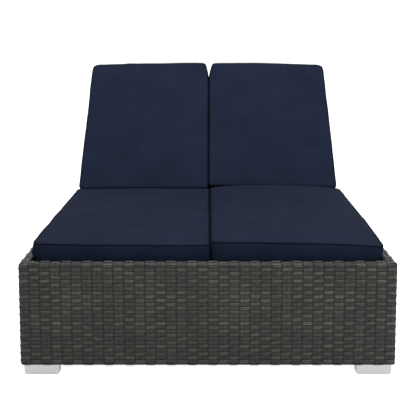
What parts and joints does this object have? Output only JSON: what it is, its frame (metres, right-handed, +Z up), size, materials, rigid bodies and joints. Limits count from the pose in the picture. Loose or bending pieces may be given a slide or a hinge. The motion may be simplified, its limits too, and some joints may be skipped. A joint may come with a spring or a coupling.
{
  "type": "double chaise lounger",
  "caption": "Wide woven chaise lounger for side-by-side use, with boxed cushions, backs that recline on hinged props, and flat metal feet.",
  "frame": {"origin": "at floor level under the middle of the base", "axes": "+Y from the foot end to the head end, +X to the right of someone who looks along +Y, +Z up"},
  "size_m": [1.38, 2.068, 1.0873],
  "materials": {
    "wicker": "matte",
    "frame_coat": "satin",
    "foot_metal": "satin",
    "cushion_cover": "matte",
    "hardware": "satin",
    "nylon": "matte"
  },
  "bodies": {
    "base": {"front_top_rail": "frame_coat", "rear_top_rail": "frame_coat", "left_top_rail": "frame_coat", "right_top_rail": "frame_coat", "front_bottom_rail": "frame_coat", "rear_bottom_rail": "frame_coat", "left_bottom_rail": "frame_coat", "right_bottom_rail": "frame_coat", "corner_posts": "frame_coat", "side_posts": "frame_coat", "centre_posts": "frame_coat", "centre_beam": "frame_coat", "cross_bars": "frame_coat", "hinge_bar": "frame_coat", "rest_bars": "frame_coat", "left_seat_deck": "wicker", "right_seat_deck": "wicker", "front_weave": "wicker", "rear_weave": "wicker", "left_weave": "wicker", "right_weave": "wicker", "corner_gussets": "hardware", "frame_bolts": "hardware", "front_left_foot": "foot_metal", "front_right_foot": "foot_metal", "rear_left_foot": "foot_metal", "rear_right_foot": "foot_metal", "foot_glides": "nylon", "foot_screws": "hardware", "left_seat_cushion": "cushion_cover", "right_seat_cushion": "cushion_cover", "hinge_ears": "hardware", "hinge_pins": "hardware", "left_outer_rack": "nylon", "left_inner_rack": "nylon", "right_inner_rack": "nylon", "right_outer_rack": "nylon", "rack_screws": "hardware"},
    "left_back": {"left_hinge_tube": "frame_coat", "left_hinge_bushes": "nylon", "left_outer_stile": "frame_coat", "left_inner_stile": "frame_coat", "left_back_rails": "frame_coat", "left_back_weave": "wicker", "left_back_cushion": "cushion_cover", "left_prop_pins": "hardware"},
    "left_prop": {"left_prop_outer_arm": "frame_coat", "left_prop_inner_arm": "frame_coat", "left_prop_foot_bar": "frame_coat"},
    "right_back": {"right_hinge_tube": "frame_coat", "right_hinge_bushes": "nylon", "right_outer_stile": "frame_coat", "right_inner_stile": "frame_coat", "right_back_rails": "frame_coat", "right_back_weave": "wicker", "right_back_cushion": "cushion_cover", "right_prop_pins": "hardware"},
    "right_prop": {"right_prop_outer_arm": "frame_coat", "right_prop_inner_arm": "frame_coat", "right_prop_foot_bar": "frame_coat"}
  },
  "joints": [
    {"name": "left_back_recline", "type": "hinge", "parent": "base", "child": "left_back", "pos_m": [-0.324, 0.095, 0.378], "axis": [1, 0, 0], "range_deg": [-46, 0]},
    {"name": "left_prop_swing", "type": "hinge", "parent": "left_back", "child": "left_prop", "pos_m": [-0.324, 0.37274, 0.66561], "axis": [1, 0, 0], "range_deg": [0, 88]},
    {"name": "right_back_recline", "type": "hinge", "parent": "base", "child": "right_back", "pos_m": [0.324, 0.095, 0.378], "axis": [1, 0, 0], "range_deg": [-46, 0]},
    {"name": "right_prop_swing", "type": "hinge", "parent": "right_back", "child": "right_prop", "pos_m": [0.324, 0.37274, 0.66561], "axis": [1, 0, 0], "range_deg": [0, 88]}
  ],
  "couplings": [
    {"joint": "left_prop_swing", "follows": "left_back_recline", "ratio": -1.9127},
    {"joint": "right_prop_swing", "follows": "right_back_recline", "ratio": -1.9127}
  ]
}
